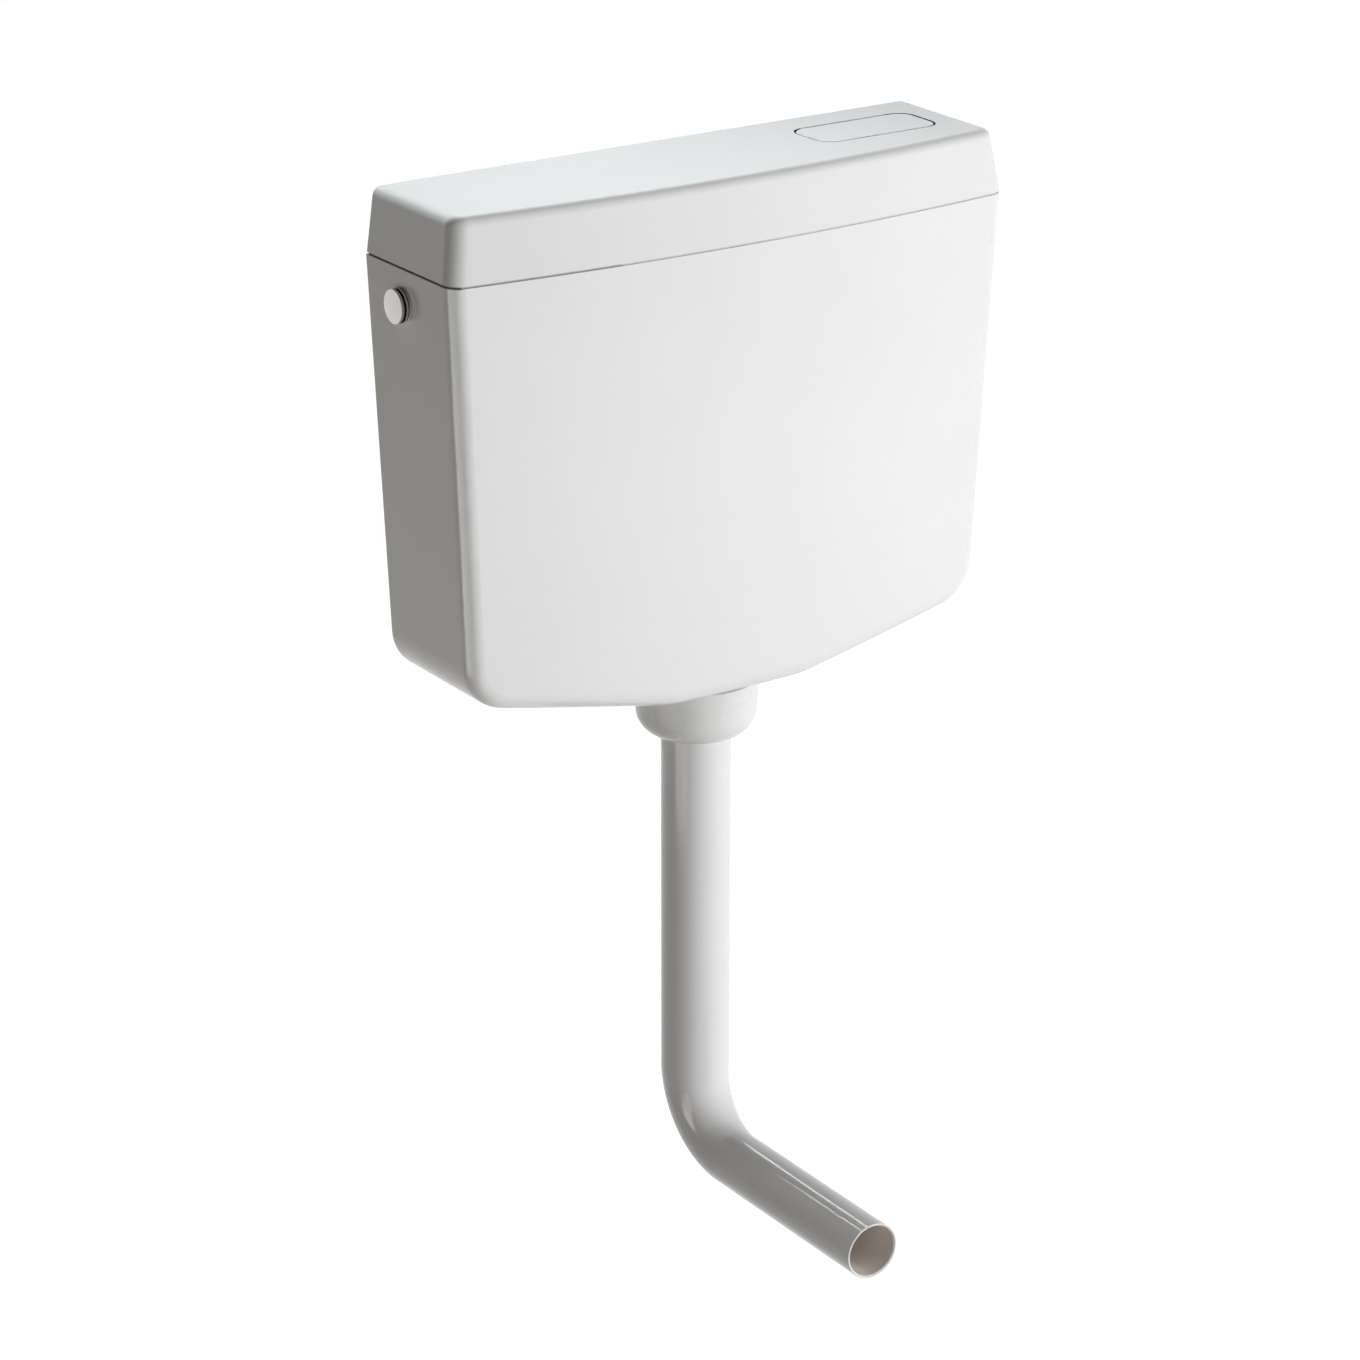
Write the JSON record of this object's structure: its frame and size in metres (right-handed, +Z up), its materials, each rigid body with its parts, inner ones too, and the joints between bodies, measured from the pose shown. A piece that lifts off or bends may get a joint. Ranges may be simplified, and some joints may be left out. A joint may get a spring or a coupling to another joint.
{
  "type": "toilet cistern",
  "caption": "Low-level wall-hung toilet cistern with a bowed front, a push button in the lid, a lever-lifted flush valve, a float fill valve and a bent flush pipe.",
  "frame": {"origin": "On the wall plane at the back of the tank, midway between the two wall-screw holes", "axes": "+X to the right as seen from the room, +Y into the wall, +Z up"},
  "size_m": [0.4767, 0.2789, 0.7521],
  "materials": {
    "tank_plastic": "gloss white",
    "button_plastic": "gloss white",
    "pipe_plastic": "gloss white",
    "foam": "expanded foam, matte",
    "fitting_plastic": "satin off-white",
    "lever_plastic": "satin blue",
    "nut_plastic": "satin grey",
    "float_plastic": "satin light grey",
    "plated_metal": "polished chrome plate",
    "brass": "machined brass",
    "steel": "stainless steel",
    "seal_rubber": "matte black"
  },
  "bodies": {
    "cistern": {"cistern_body": "tank_plastic", "insulation_liner": "foam", "lever_bracket": "fitting_plastic", "bracket_screws": "steel", "lever_pin": "steel", "lever_clip": "steel", "valve_cage": "float_plastic", "valve_base": "fitting_plastic", "outlet_washer": "seal_rubber", "outlet_backnut": "nut_plastic", "pipe_nut": "tank_plastic", "pipe_seal": "seal_rubber", "flush_pipe": "pipe_plastic", "inlet_cap": "plated_metal", "cap_washer": "seal_rubber", "cap_backnut": "nut_plastic", "inlet_nipple": "brass", "inlet_washer": "seal_rubber", "inlet_backnut": "nut_plastic", "fill_valve_body": "fitting_plastic", "fill_tube": "nut_plastic", "fill_valve_cap": "lever_plastic", "arm_pin": "steel", "arm_clip": "steel"},
    "lid": {"lid": "tank_plastic", "button_guide": "fitting_plastic", "guide_screws": "steel", "button_spring": "steel"},
    "button": {"flush_button": "button_plastic"},
    "lever": {"rocker_lever": "lever_plastic"},
    "valve": {"lift_rod": "fitting_plastic", "lift_collar": "lever_plastic", "lift_yoke": "lever_plastic", "lift_tube": "fitting_plastic", "valve_float": "float_plastic", "valve_seal": "seal_rubber", "seal_clip": "fitting_plastic"},
    "float": {"float_arm": "fitting_plastic", "water_float": "float_plastic"},
    "piston": {"fill_piston": "brass"}
  },
  "joints": [
    {"name": "lid_lift", "type": "slide", "parent": "cistern", "child": "lid", "axis": [0, 0, 1], "range_m": [0, 0.12]},
    {"name": "button_press", "type": "slide", "parent": "lid", "child": "button", "axis": [0, 0, -1], "range_m": [0, 0.0114], "stiffness_N_per_m": 120, "springref_m": -0.012, "deforming": ["button_spring"]},
    {"name": "valve_lift", "type": "slide", "parent": "cistern", "child": "valve", "axis": [0, 0, 1], "range_m": [0, 0.02]},
    {"name": "lever_rock", "type": "hinge", "parent": "cistern", "child": "lever", "pos_m": [0.093, -0.0588, 0.032], "axis": [0, 1, 0], "range_deg": [0, 12.4]},
    {"name": "float_swing", "type": "hinge", "parent": "cistern", "child": "float", "pos_m": [0.152, -0.044, -0.0045], "axis": [0, 1, 0], "range_deg": [0, 30]},
    {"name": "piston_slide", "type": "slide", "parent": "cistern", "child": "piston", "axis": [1, 0, 0], "range_m": [0, 0.00415]}
  ],
  "couplings": [
    {"joint": "button_press", "follows": "valve_lift", "ratio": 0.57},
    {"joint": "lever_rock", "follows": "valve_lift", "rad_per_m": 10.75},
    {"joint": "piston_slide", "follows": "float_swing", "m_per_rad": 0.0079}
  ]
}
